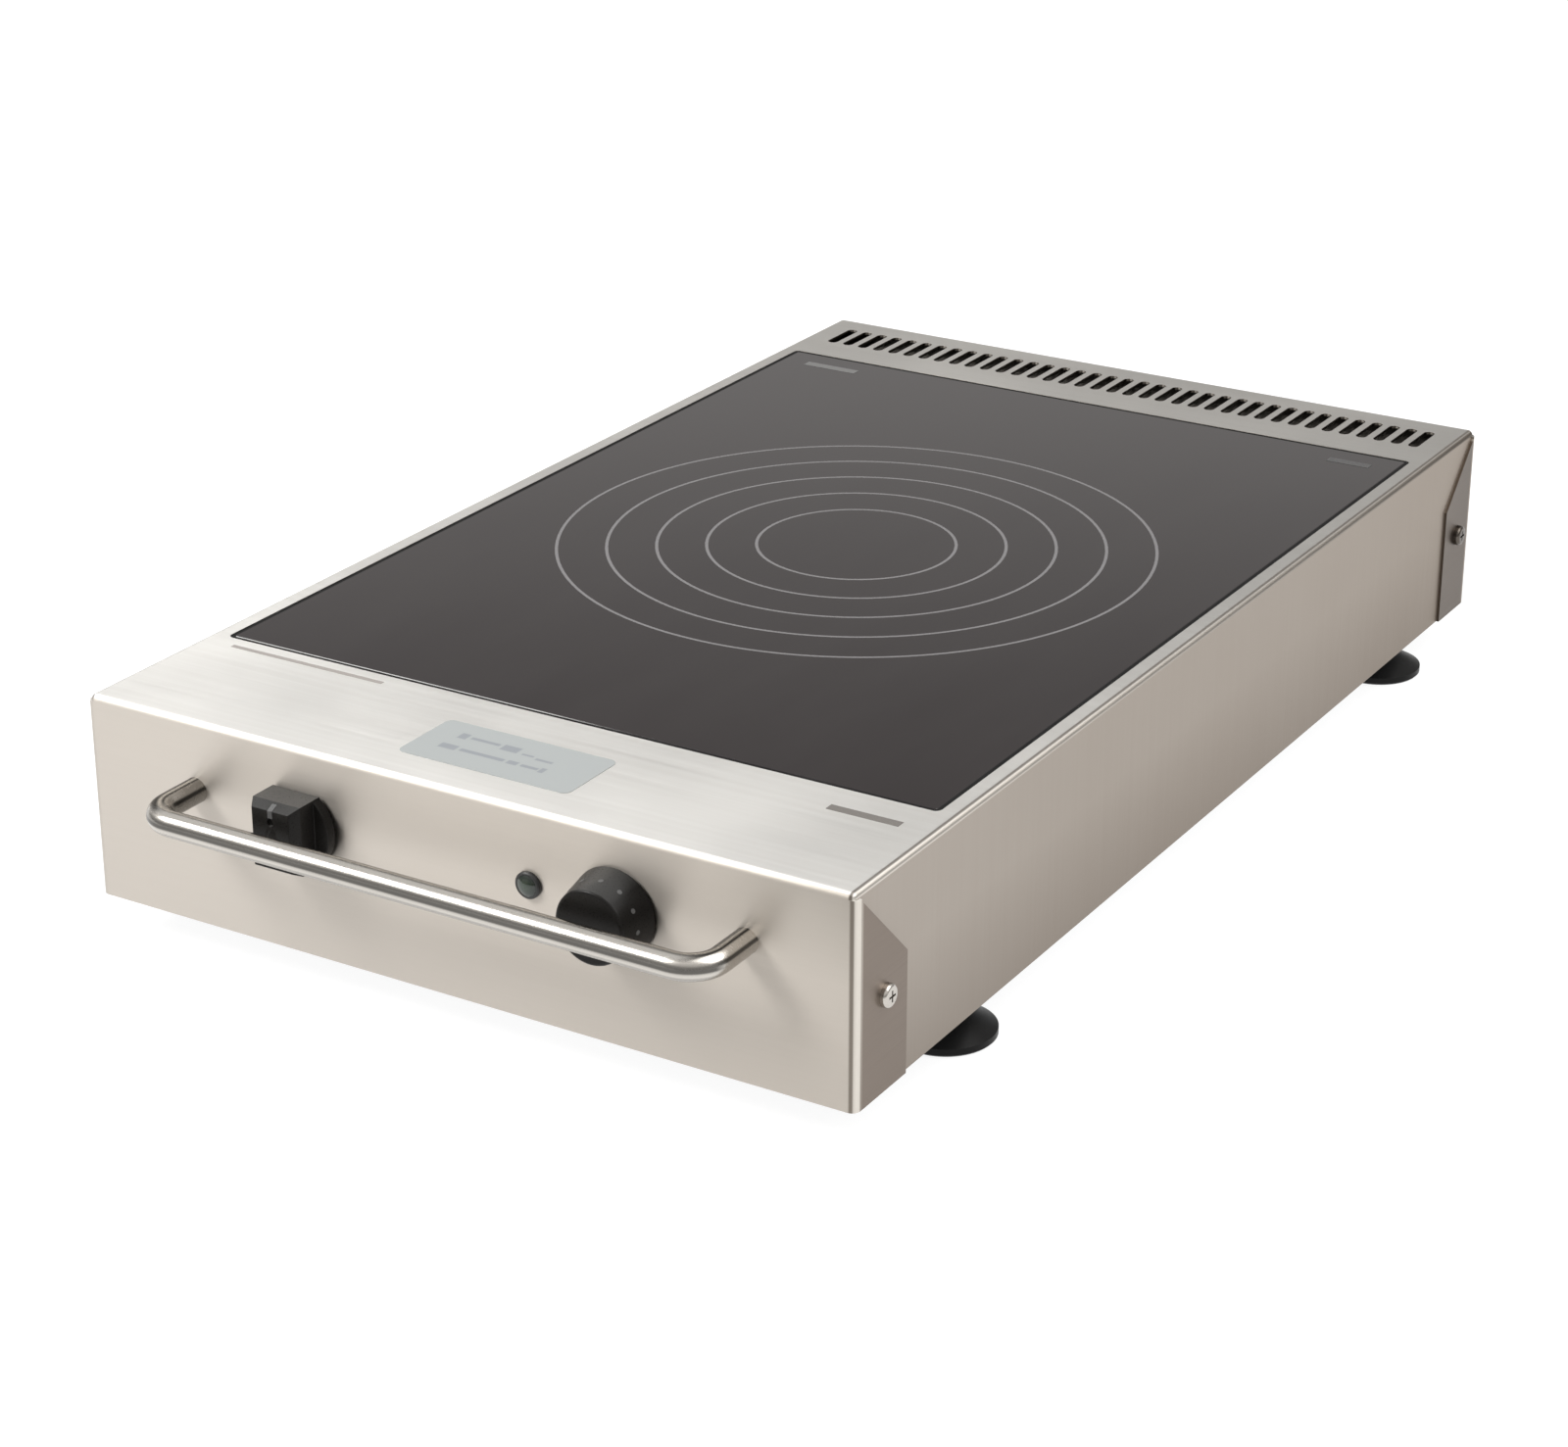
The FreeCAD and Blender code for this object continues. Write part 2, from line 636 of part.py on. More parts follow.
def coil_pillars():
    """Hexagonal pillars from the tray to the shield plate, a screw on top of each."""
    pillars = []
    for x, y in corners(PILLAR_X, PILLAR_DY, 0, GLASS_Y):
        pillar = hexagon(10, TRAY_TOP, SHIELD_Z, x, y)
        screw = fuse([disc(2.0, SHIELD_Z, FERRITE_Z, x, y), disc(4.0, FERRITE_Z, FERRITE_Z + 2.4, x, y)])
        pillars.append(fuse([pillar, screw]))
    return group(pillars)


def temperature_sensor():
    """Sensor capsule held against the underside of the glass, on its stalk."""
    capsule = disc(6.0, FELT_Z - 2, GLASS_BOTTOM, 0, GLASS_Y)
    stalk = disc(2.0, FERRITE_Z, FELT_Z - 2, 0, GLASS_Y)
    return fuse([capsule, stalk])


def sensor_spring():
    """Compression spring of square wire round the sensor's stalk."""
    half = 0.4
    radius = 4.2
    low = FERRITE_Z + half + 0.05
    high = FELT_Z - 2 - half - 0.05
    helix = Part.makeHelix((high - low) / 4, high - low, radius)
    section = Part.makePolygon([Vector(radius - half, 0, -half), Vector(radius + half, 0, -half),
                                Vector(radius + half, 0, half), Vector(radius - half, 0, half),
                                Vector(radius - half, 0, -half)])
    spring = Part.Wire(helix).makePipeShell([section], True, True)
    return moved(spring, 0, GLASS_Y, low)


# --- electronics and cooling -----------------------------------------------------------------------

def power_board():
    board = centred_box(BOARD_W, BOARD_D, BOARD_Z, BOARD_Z + BOARD_T, 0, BOARD_Y)
    for x, y in corners(BOARD_W / 2 - 6, BOARD_D / 2 - 6, 0, BOARD_Y):
        board = board.cut(disc(1.6, BOARD_Z - 1, BOARD_Z + 3, x, y))
    return board


def board_standoffs():
    """Hexagonal spacers and screws under the power board, and those of the control board."""
    parts = []
    for x, y in corners(BOARD_W / 2 - 6, BOARD_D / 2 - 6, 0, BOARD_Y):
        top = BOARD_Z + BOARD_T
        spacer = hexagon(6, TRAY_TOP, BOARD_Z, x, y)
        screw = fuse([disc(1.5, BOARD_Z, top, x, y), disc(3.0, top, top + 2, x, y)])
        parts.append(fuse([spacer, screw]))
    for x, z in corners(30, 17, POWER_X + 12, CONTROL_Z):
        parts.append(on_front(hexagon(5, -24 + BOARD_T, -SHEET), x, z))
    return group(parts)


def heatsink():
    """Extruded heat sink over the power modules, its fins along the air stream."""
    low = BOARD_Z + BOARD_T + 5.0
    base = centred_box(SINK_W, SINK_D, low, low + SINK_BASE, SINK_X, BOARD_Y)
    fins = []
    for n in range(FIN_COUNT):
        x = SINK_X - SINK_W / 2 + FIN_T / 2 + n * (SINK_W - FIN_T) / (FIN_COUNT - 1)
        fins.append(centred_box(FIN_T, SINK_D, low + SINK_BASE, low + SINK_H, x, BOARD_Y))
    return fuse([base] + fins)


def power_modules():
    """Rectifier bridge and two switching transistors, pressed under the heat sink."""
    low = BOARD_Z + BOARD_T
    return group([centred_box(24, 22, low, low + 5, SINK_X + x, BOARD_Y + y)
                  for x, y in ((-30, -50), (-30, 0), (-30, 50))])


def capacitors():
    """Film capacitors in boxes, and one upright can."""
    low = BOARD_Z + BOARD_T
    parts = [centred_box(42, 22, low, low + 30, 50, BOARD_Y + y) for y in (-70, -42, -14)]
    parts.append(disc(11, low, low + 36, 102, BOARD_Y + 40))
    return group(parts)


def choke():
    """Ring core with a single layer of thick wire round it."""
    low = BOARD_Z + BOARD_T
    height = 18.0
    solid = [ring(22, 12, low + 2, low + 2 + height)]
    for n in range(18):
        bump = box(10.5, 24, -1.3, 1.3, low, low + height + 4)
        solid.append(turned(bump, Vector(0, 0, 1), 20 * n))
    return moved(fuse(solid), 62, BOARD_Y + 48, 0)


def blade(index, count, hub_r, tip_r, z0, z1):
    """One pitched fan blade, trimmed to the hub and to the bore."""
    middle = (z0 + z1) / 2
    slab = box(hub_r - 2, tip_r + 4, -17, 17, middle - 0.8, middle + 0.8)
    slab = turned(slab, Vector(1, 0, 0), 34, 0, 0, middle)
    slab = slab.common(ring(tip_r, hub_r - 1, z0, z1))
    return turned(slab, Vector(0, 0, 1), 360.0 / count * index)


def fan_frame(side):
    """Square fan housing with a bearing boss on four struts."""
    z0, z1 = TRAY_TOP, TRAY_TOP + FAN_T
    frame = plate(FAN_SIZE, FAN_SIZE, 6, z0, z1).cut(disc(FAN_BORE_R, z0 - 1, z1 + 1))
    struts = []
    for n in range(4):
        strut = box(0, FAN_BORE_R + 2, -2.5, 2.5, z1 - 3, z1)
        struts.append(turned(strut, Vector(0, 0, 1), 45 + 90 * n))
    boss = fuse([disc(FAN_HUB_R, z1 - 3, z1), disc(6, z0 + 8, z1 - 3)])
    frame = fuse([frame, boss] + struts)
    frame = frame.cut(disc(FAN_SHAFT_R + RUNNING, z0, z1 + 1))
    for x, y in corners(52.5, 52.5):
        frame = frame.cut(disc(2.2, z0 - 1, z1 + 1, x, y))
    return moved(frame, side * FAN_X, FAN_Y, 0)


def fan_rotor(side):
    """Fan wheel: a cup round the motor with seven pitched blades, on its shaft."""
    z0, z1 = TRAY_TOP + 2.0, TRAY_TOP + FAN_T - 3.0 - ROTOR_GAP
    cup = disc(FAN_HUB_R, z0, z1).cut(disc(FAN_HUB_R - 2, z0 + 2, z1 + 1))
    shaft = disc(FAN_SHAFT_R, z0 + 1, TRAY_TOP + FAN_T - 1)
    blades = [blade(n, 7, FAN_HUB_R, FAN_BORE_R - ROTOR_GAP, z0, z1) for n in range(7)]
    rotor = fuse([cup, shaft] + blades)
    return moved(rotor, side * FAN_X, FAN_Y, 0)


def fan_guards():
    """Finger guards under the two inlets: rings joined by two crossing bars."""
    wire = 2.0
    low, high = TRAY_Z - wire, TRAY_Z
    guards = []
    for side in (-1, 1):
        hoops = [ring(r + wire / 2, r - wire / 2, low, high) for r in (12, 22, 32, 42, 52, 60)]
        bars = []
        for angle in (45, 135):
            bar = centred_box(2 * (FAN_BORE_R + 3), wire, low, high)
            bars.append(turned(bar, Vector(0, 0, 1), angle))
        guards.append(moved(fuse(hoops + bars), side * FAN_X, FAN_Y, 0))
    return group(guards)


def air_duct():
    """Folded duct that leads the fans' air over the heat sink to the outlet slots."""
    outer = box(-DUCT_HALF, DUCT_HALF, DUCT_FRONT, DUCT_REAR, TRAY_TOP, DUCT_TOP)
    inner = box(-DUCT_HALF + 1, DUCT_HALF - 1, DUCT_FRONT + 1, DUCT_REAR + 1, TRAY_TOP - 1, DUCT_TOP - 1)
    return outer.cut(inner)


# --- rear fittings -----------------------------------------------------------------------------------

def terminal_block():
    """Mains terminals on the tray, with three clamp screws."""
    block = centred_box(42, 24, TRAY_TOP, TRAY_TOP + 22, GLAND_X, REAR_Y - 60)
    for n in (-1, 0, 1):
        block = block.cut(disc(2.5, TRAY_TOP + 12, TRAY_TOP + 23, GLAND_X + 12 * n, REAR_Y - 60))
    return block


def gland_body():
    """Cable gland: hexagon outside the rear panel, threaded tail through it."""
    body = fuse([hexagon(24, 0, 6), disc(GLAND_R, -12, 0), disc(GLAND_R - 1, 6, 12)])
    body = body.cut(disc(6.5, -13, 13))
    return on_rear(body, GLAND_X, GLAND_Z)


def gland_cap():
    """Domed clamping nut, screwed over the gland body."""
    cap = fuse([hexagon(24, 6.5, 15), revolve([(0, 15), (11.5, 15), (8.2, GLAND_REACH), (0, GLAND_REACH)])])
    cap = cap.cut(disc(GLAND_R - 1, 6, 12)).cut(disc(6.5, 11, 20)).cut(disc(5.5, 19, 26))
    return on_rear(cap, GLAND_X, GLAND_Z)


def gland_seal():
    """Rubber bush that grips the cable."""
    return on_rear(ring(6.5, CABLE_R, 2, 19), GLAND_X, GLAND_Z)


def gland_locknut():
    nut = hexagon(24, -SHEET - 5, -SHEET).cut(disc(GLAND_R, -10, 0))
    return on_rear(nut, GLAND_X, GLAND_Z)


def bonding_stud():
    """Equipotential bonding stud with its nuts and washer; a neck leads to the free end."""
    stud = fuse([disc(BOND_NECK_R, -9, BOND_FREE), disc(BOND_R, BOND_FREE, 18)])
    nuts = [hexagon(10, -SHEET - 5, -SHEET).cut(disc(BOND_NECK_R, -10, 1)),
            hexagon(10, 1.2, 6.2).cut(disc(BOND_NECK_R, 0, 7)),
            ring(6.0, BOND_NECK_R, 0, 1.2)]
    return group([on_rear(shape, BOND_X, BOND_Z) for shape in [stud] + nuts])


# --- feet --------------------------------------------------------------------------------------------

SOCKET_R = STEM_R + RUNNING
SOCKET_Z = 9.0


def foot_pad(x, y):
    """Round foot: flat base, conical top and a hexagon for the spanner."""
    cone = revolve([(0, 0), (PAD_R - 1, 0), (PAD_R, 1), (PAD_R, 4), (12, 10.5), (9.5, 13), (0, 13)])
    pad = fuse([cone, hexagon(15, 13, 19)])
    pad = pad.cut(disc(SOCKET_R, SOCKET_Z - 0.3, 20))
    return moved(pad, x, y, 0)


def foot_stem(x, y):
    """Threaded stem, carried in the pad's socket and screwed into the tray's insert."""
    stem = disc(STEM_R, SOCKET_Z, 50, x, y)
    rim = [edge for edge in stem.Edges if edge.BoundBox.ZMin > 49.9]
    return stem.makeChamfer(0.8, rim)


def foot_inserts():
    """Rivet nuts in the tray, one above each foot."""
    inserts = []
    for side in (-1, 1):
        for y in FOOT_YS:
            x = side * FOOT_X
            insert = fuse([disc(8.5, TRAY_Z - 1, TRAY_Z, x, y), disc(6.5, TRAY_Z, TRAY_TOP + INSERT_L, x, y)])
            inserts.append(insert.cut(disc(STEM_R + RUNNING, TRAY_Z - 2, TRAY_TOP + INSERT_L + 1, x, y)))
    return group(inserts)


NODES = {
    "top_cover": top_cover,
    "base_tray": base_tray,
    "glass_frame": glass_frame,
    "glass_plate": glass_plate,
    "glass_seal": glass_seal,
    "zone_rings": zone_rings,
    "printed_marks": printed_marks,
    "control_label": control_label,
    "tab_screws": tab_screws,
    "base_screws": base_screws,
    "handle": handle,
    "handle_screws": handle_screws,
    "switch_knob": switch_knob,
    "switch_pointer": switch_pointer,
    "switch_shaft": switch_shaft,
    "switch_body": switch_body,
    "power_knob": power_knob,
    "power_dots": power_dots,
    "power_shaft": power_shaft,
    "potentiometer": potentiometer,
    "potentiometer_nut": potentiometer_nut,
    "control_board": control_board,
    "lamp_lens": lamp_lens,
    "lamp_body": lamp_body,
    "lamp_nut": lamp_nut,
    "coil_winding": coil_winding,
    "coil_carrier": coil_carrier,
    "ferrite_bars": ferrite_bars,
    "insulation_disc": insulation_disc,
    "shield_plate": shield_plate,
    "coil_pillars": coil_pillars,
    "temperature_sensor": temperature_sensor,
    "sensor_spring": sensor_spring,
    "power_board": power_board,
    "board_standoffs": board_standoffs,
    "heatsink": heatsink,
    "power_modules": power_modules,
    "capacitors": capacitors,
    "choke": choke,
    "fan_guards": fan_guards,
    "air_duct": air_duct,
    "terminal_block": terminal_block,
    "gland_body": gland_body,
    "gland_cap": gland_cap,
    "gland_seal": gland_seal,
    "gland_locknut": gland_locknut,
    "bonding_stud": bonding_stud,
    "foot_inserts": foot_inserts,
}


def build():
    shapes = {name: make() for name, make in NODES.items()}
    for side, hand in ((-1, "left"), (1, "right")):
        shapes["fan_frame_" + hand] = fan_frame(side)
        shapes["fan_rotor_" + hand] = fan_rotor(side)
        for y, end in zip(FOOT_YS, ("front", "rear")):
            place = end + "_" + hand
            shapes["foot_stem_" + place] = foot_stem(side * FOOT_X, y)
            shapes["foot_pad_" + place] = foot_pad(side * FOOT_X, y)
    return shapes


os.makedirs("parts", exist_ok=True)
for name, shape in build().items():
    shape.exportStep("parts/" + name + ".step")
    box_mm = shape.BoundBox
    print(f"{name}: {len(shape.Solids)} solids, valid {shape.isValid()}, "
          f"{box_mm.XLength:.1f} x {box_mm.YLength:.1f} x {box_mm.ZLength:.1f}")
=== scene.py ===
"""Studio view of the counter-top induction hob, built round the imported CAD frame. Metres."""

import json
import math

import bmesh
import bpy
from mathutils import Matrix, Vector


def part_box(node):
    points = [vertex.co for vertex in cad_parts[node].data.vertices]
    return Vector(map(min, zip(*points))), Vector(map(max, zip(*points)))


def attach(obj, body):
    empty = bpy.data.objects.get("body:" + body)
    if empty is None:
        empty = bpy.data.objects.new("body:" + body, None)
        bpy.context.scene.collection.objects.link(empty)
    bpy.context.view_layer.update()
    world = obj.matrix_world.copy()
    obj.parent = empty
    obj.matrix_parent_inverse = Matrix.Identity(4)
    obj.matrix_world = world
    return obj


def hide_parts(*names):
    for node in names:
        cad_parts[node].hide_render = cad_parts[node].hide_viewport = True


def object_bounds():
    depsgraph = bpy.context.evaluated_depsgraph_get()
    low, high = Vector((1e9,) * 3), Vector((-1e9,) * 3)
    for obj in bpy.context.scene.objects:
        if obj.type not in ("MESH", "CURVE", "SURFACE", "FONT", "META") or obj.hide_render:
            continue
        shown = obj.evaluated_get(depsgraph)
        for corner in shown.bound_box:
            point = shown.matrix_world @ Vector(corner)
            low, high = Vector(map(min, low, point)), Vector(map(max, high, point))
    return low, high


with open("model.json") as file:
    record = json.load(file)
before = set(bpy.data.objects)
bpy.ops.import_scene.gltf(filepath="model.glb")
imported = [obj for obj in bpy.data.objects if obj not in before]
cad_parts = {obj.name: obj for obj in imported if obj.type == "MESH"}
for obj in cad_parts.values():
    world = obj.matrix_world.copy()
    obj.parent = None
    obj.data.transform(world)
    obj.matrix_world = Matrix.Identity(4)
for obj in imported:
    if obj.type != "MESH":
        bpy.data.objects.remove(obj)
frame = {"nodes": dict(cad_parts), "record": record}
cad_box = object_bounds()
NODES = frame["nodes"]
MM = 0.001


# --- places read from the frame ------------------------------------------------------------------

def centre(node):
    low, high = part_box(node)
    return (Vector(low) + Vector(high)) / 2


def low_corner(node):
    return Vector(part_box(node)[0])


def high_corner(node):
    return Vector(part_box(node)[1])


# The tabs wrap over the side panels, so the panels stand one sheet inside the cover's box.
COVER_LOW = low_corner("top_cover")
COVER_HIGH = high_corner("top_cover")
SHEET = 1.5 * MM
HALF_W = COVER_HIGH.x - SHEET
CASE_Z = COVER_LOW.z
DECK_Z = COVER_HIGH.z
FRONT_Y = COVER_LOW.y
REAR_Y = COVER_HIGH.y
ZONE = centre("zone_rings")
LAMP = centre("lamp_lens")
CORNER = 5 * MM     # depth of the rounded corners, which the tabs' painted shade leaves out
LENS_FADE = 5 * MM  # from the lens's middle to where its tone is darkest
STEEP = 0.7         # a face that looks further than this along an axis belongs to that side

# How fast the steel's texture changes across its brushing and along it
FINE = 2600.0
ALONG = 9.0

# Painted reflection on a rod's face: grey by how far the face looks up, 0 is straight down, 1 straight up
BAR_PAINTED_REFLECTION = ((0.0, 0.44), (0.24, 0.37), (0.34, 0.62), (0.43, 0.52), (0.50, 0.12), (0.59, 0.13),
             (0.66, 0.30), (0.72, 0.34), (0.79, 0.48), (0.84, 0.66), (0.89, 0.44), (0.94, 0.22),
             (0.98, 0.22), (1.0, 0.30))
ARM_PAINTED_REFLECTION = ((0.0, 0.55), (0.60, 0.55), (0.66, 0.14), (0.74, 0.14), (0.80, 0.92), (1.0, 0.92))
WARM_STEEL = (1.0, 0.955, 0.885)

# Plain bars of the label: left, right, front and rear as shares of the film
UPPER_BARS = ((0.16, 0.21, 0.62, 0.76), (0.23, 0.40, 0.66, 0.72), (0.42, 0.52, 0.60, 0.74),
              (0.55, 0.62, 0.60, 0.64), (0.64, 0.74, 0.56, 0.61))
LOWER_BARS = ((0.14, 0.24, 0.32, 0.44), (0.26, 0.52, 0.34, 0.41), (0.54, 0.60, 0.33, 0.42),
              (0.62, 0.72, 0.34, 0.40), (0.73, 0.76, 0.31, 0.43))

# Grey of the surroundings by height: 0 is the horizon, 1 straight up
WALL_TONES = ((0.0, 0.32), (0.30, 0.42), (0.50, 0.80), (0.65, 0.90), (0.85, 0.70))
SWEEP_TONES = ((0.0, 0.66), (0.31, 0.60), (0.345, 0.47), (0.39, 0.31), (0.43, 0.23), (0.55, 0.40),
               (0.85, 0.65))
WARM_WALL = (1.0, 0.98, 0.96)

# Area lights: name, place and aim in metres, width and depth in metres, watts, colour
LIGHTS = (
    ("key", (-1.10, -1.30, 1.45), (0.0, -0.15, 0.05), (1.0, 0.6), 28.0, (1.0, 0.995, 0.98)),
    ("top", (-0.95, 0.0, 1.6), (-0.08, -0.25, 0.0), (1.0, 1.8), 10.0, (1.0, 1.0, 0.99)),
    ("fill", (1.5, 0.3, 2.3), (0.2, 0.0, 0.0), (2.2, 2.6), 46.0, (1.0, 0.99, 0.98)),
)

# Camera: the direction it looks from, its distance in metres, its aim from the case's middle, and
# its lens and sensor in millimetres
AZIMUTH = math.radians(31.12)
ELEVATION = math.radians(23.37)
CAMERA_DISTANCE = 1.8235
AIM_OFFSET = Vector((-17.5, -24.1, -27.0)) * MM
LENS_LENGTH = 83.1
SENSOR_WIDTH = 36.0

# Floor: from its middle to its edge in metres, and its glow
FLOOR_HALF = 12.0
FLOOR_GLOW = 0.86

# Small moulded and turned pieces whose edges are eased, with the width of the ease in millimetres
EASED = (("switch_knob", 0.7), ("lamp_body", 0.35), ("tab_screws", 0.2), ("base_screws", 0.2),
         ("gland_body", 0.5), ("gland_cap", 0.6), ("bonding_stud", 0.3), ("terminal_block", 0.4))
EASE_STEPS = 2
MERGE_GAP = 0.002 * MM
FLAT_ANGLE = math.radians(0.5)
SHARP_ANGLE = math.radians(28)
EASE_ANGLE = math.radians(30)


# --- node helpers --------------------------------------------------------------------------------

def rgb(red, green, blue):
    return (red, green, blue, 1.0)


class Tree:
    """Short names for the shader nodes of one node tree."""

    def __init__(self, tree):
        self.tree = tree
        self.nodes = tree.nodes

    def node(self, kind, **values):
        made = self.nodes.new(kind)
        for key, value in values.items():
            setattr(made, key, value)
        return made

    def link(self, source, target):
        self.tree.links.new(source, target)

    def feed(self, target, value):
        if isinstance(value, bpy.types.NodeSocket):
            self.link(value, target)
        else:
            target.default_value = value

    def math(self, operation, a, b=0.0):
        made = self.node("ShaderNodeMath", operation=operation)
        self.feed(made.inputs[0], a)
        self.feed(made.inputs[1], b)
        return made.outputs[0]

    def times(self, *factors):
        """Product of two or more values."""
        product = factors[0]
        for factor in factors[1:]:
            product = self.math("MULTIPLY", product, factor)
        return product

    def absolute(self, value):
        """A value without its sign."""
        return self.math("ABSOLUTE", value)

    def radius(self, a, b):
        """Distance from the axis of a point with these two offsets from it."""
        squares = self.math("ADD", self.math("POWER", a, 2.0), self.math("POWER", b, 2.0))
        return self.math("SQRT", squares)

    def vector(self, operation, a, b):
        made = self.node("ShaderNodeVectorMath", operation=operation)
        self.feed(made.inputs[0], a)
        self.feed(made.inputs[1], b)
        return made.outputs[0]

    def axes(self, vector):
        made = self.node("ShaderNodeSeparateXYZ")
        self.link(vector, made.inputs[0])
        return made.outputs

    def noise(self, vector, scale, detail=2.0, rough=0.5):
        made = self.node("ShaderNodeTexNoise")
        self.link(vector, made.inputs["Vector"])
        made.inputs["Scale"].default_value = scale
        made.inputs["Detail"].default_value = detail
        made.inputs["Roughness"].default_value = rough
        return made.outputs["Fac"]

    def span(self, value, low, high, start=0.0, end=1.0, easing="LINEAR"):
        """Start where the value is low, end where it is high, and held beyond them."""
        made = self.node("ShaderNodeMapRange", clamp=True, interpolation_type=easing)
        for socket, number in zip(made.inputs, (value, low, high, start, end)):
            self.feed(socket, number)
        return made.outputs[0]

    def ramp(self, value, stops, tint=(1.0, 1.0, 1.0)):
        """Tinted grey that runs through (place, level) stops as the value goes from 0 to 1."""
        made = self.node("ShaderNodeValToRGB")
        elements = made.color_ramp.elements
        while len(elements) < len(stops):
            elements.new(0.5)
        for element, (place, level) in zip(elements, stops):
            element.position = place
            element.color = rgb(*(level * share for share in tint))
        self.feed(made.inputs[0], value)
        return made.outputs[0]

    def blend(self, factor, a, b):
        """Colour a where factor is 0, b where it is 1."""
        made = self.node("ShaderNodeMix", data_type="RGBA")
        self.feed(made.inputs[0], factor)
        self.feed(made.inputs[6], a)
        self.feed(made.inputs[7], b)
        return made.outputs[2]

    def pick(self, factor, a, b):
        """Vector a where factor is 0, b where it is 1."""
        made = self.node("ShaderNodeMix", data_type="VECTOR")
        self.feed(made.inputs[0], factor)
        self.feed(made.inputs[4], a)
        self.feed(made.inputs[5], b)
        return made.outputs[1]


class Surface(Tree):
    """One material: its nodes, its shader and the object's own coordinates."""

    def __init__(self, name):
        self.material = bpy.data.materials.new(name)
        self.material.use_nodes = True
        super().__init__(self.material.node_tree)
        self.bsdf = self.nodes["Principled BSDF"]
        self.place = self.node("ShaderNodeTexCoord").outputs["Object"]

    def facing(self, kind="Normal"):
        """The X, Y and Z parts of the direction that a face looks in."""
        return self.axes(self.node("ShaderNodeNewGeometry").outputs[kind])

    def rectangle(self, x0, x1, y0, y1, edge=0.25 * MM):
        """1 inside a soft-edged rectangle in the plane of the deck."""
        x, y, _ = self.axes(self.place)
        return self.times(self.span(x, x0 - edge, x0 + edge),
                          self.span(x, x1 - edge, x1 + edge, 1.0, 0.0),
                          self.span(y, y0 - edge, y0 + edge),
                          self.span(y, y1 - edge, y1 + edge, 1.0, 0.0))

    def bump(self, height, depth, strength):
        made = self.node("ShaderNodeBump")
        made.inputs["Strength"].default_value = strength
        made.inputs["Distance"].default_value = depth
        self.link(height, made.inputs["Height"])
        self.link(made.outputs[0], self.bsdf.inputs["Normal"])

    def set(self, **values):
        """Shader inputs by name, underscores standing for spaces."""
        for key, value in values.items():
            self.feed(self.bsdf.inputs[key.replace("_", " ")], value)
        return self.material


# --- the brushed cover ---------------------------------------------------------------------------

def steel_grain(t, sideways, tab):
    """Coordinates stretched along the brushing. It runs along X on the deck and the aprons, so it
    is upright on the side panels and level on the tabs that wrap round from the aprons."""
    across_deck = t.vector("MULTIPLY", t.place, (ALONG, FINE, FINE))
    down_side = t.vector("MULTIPLY", t.place, (FINE, FINE, ALONG))
    along_tab = t.vector("MULTIPLY", t.place, (FINE, ALONG, FINE))
    return t.pick(tab, t.pick(sideways, across_deck, down_side), along_tab)


def steel_tangent(t, upright, tab):
    """Direction of the shader's anisotropy: along Y, but along Z on the aprons and the tabs."""
    along_y = (0.0, 1.0, 0.0)
    along_z = (0.0, 0.0, 1.0)
    return t.pick(tab, t.pick(upright, along_y, along_z), along_z)


def deck_tone(t, streak, band, toward_rear):
    """Pale streaks with a few dull bands, and painted shade that darkens the deck toward the rear."""
    deck = t.blend(streak, rgb(0.71, 0.70, 0.675), rgb(0.77, 0.762, 0.74))
    deck = t.blend(t.span(band, 0.35, 0.65, 0.0, 0.2), deck, rgb(0.62, 0.60, 0.57))
    return t.blend(t.times(toward_rear, 0.6), deck, rgb(0.36, 0.345, 0.32))


def apron_tone(t):
    """Warmer than the deck and darker with painted shade, which deepens toward the right and most of all at
    the top right corner.
    """
    x, _, z = t.axes(t.place)
    apron = t.blend(t.span(x, -HALF_W, HALF_W), rgb(0.52, 0.475, 0.425), rgb(0.46, 0.415, 0.365))
    corner = t.times(t.span(x, 0.65 * HALF_W, HALF_W), t.span(z, 0.65 * DECK_Z, DECK_Z))
    return t.blend(t.times(corner, 0.9), apron, rgb(0.27, 0.24, 0.205))


def side_tones(t, colour, sideways, toward_rear):
    """The colour given, with painted shade that turns the side panels brown and darker, and more so toward
    the bottom.
    """
    z = t.axes(t.place)[2]
    panel = t.times(sideways, t.span(toward_rear, 0.0, 1.0, 0.78, 0.86))
    colour = t.blend(panel, colour, rgb(0.30, 0.25, 0.205))
    # painted shade, deepening toward the bottom of the side panels
    lower_shade = t.times(sideways, t.span(z, CASE_Z, 0.65 * DECK_Z, 0.42, 0.0))
    return t.blend(lower_shade, colour, rgb(0.17, 0.135, 0.105))


def tab_tones(t, colour, toward_rear):
    """The colour given, with painted shade that darkens the tabs, and the rear ones most."""
    x = t.axes(t.place)[0]
    between = t.rectangle(-2 * HALF_W, 2 * HALF_W, FRONT_Y + CORNER, REAR_Y - CORNER)
    wrapped = t.times(between, t.span(t.absolute(x), HALF_W, HALF_W + 0.1 * SHEET))
    tone = t.blend(toward_rear, rgb(0.22, 0.18, 0.15), rgb(0.115, 0.092, 0.074))
    return t.blend(t.times(wrapped, 0.94), colour, tone)


def fold_tones(t, colour, toward_rear):
    """The colour given, with a painted dark reflection where each right-hand fold starts and a painted
    highlight where it ends, which fades to painted shade toward the rear."""
    facing = t.facing()
    across = t.math("MAXIMUM", facing[0], 0.0)
    other = t.math("MAXIMUM", t.absolute(facing[1]), facing[2])
    fold = t.times(t.span(across, 0.08, 0.20), t.span(other, 0.08, 0.20))
    start = t.times(fold, t.span(across, 0.45, 0.60, 0.75, 0.0))
    end = t.times(fold, t.span(across, 0.50, 0.65, 0.0, 0.9))
    fold_highlight = t.blend(toward_rear, rgb(0.74, 0.70, 0.64), rgb(0.14, 0.12, 0.10))
    return t.blend(end, t.blend(start, colour, rgb(0.15, 0.125, 0.10)), fold_highlight)


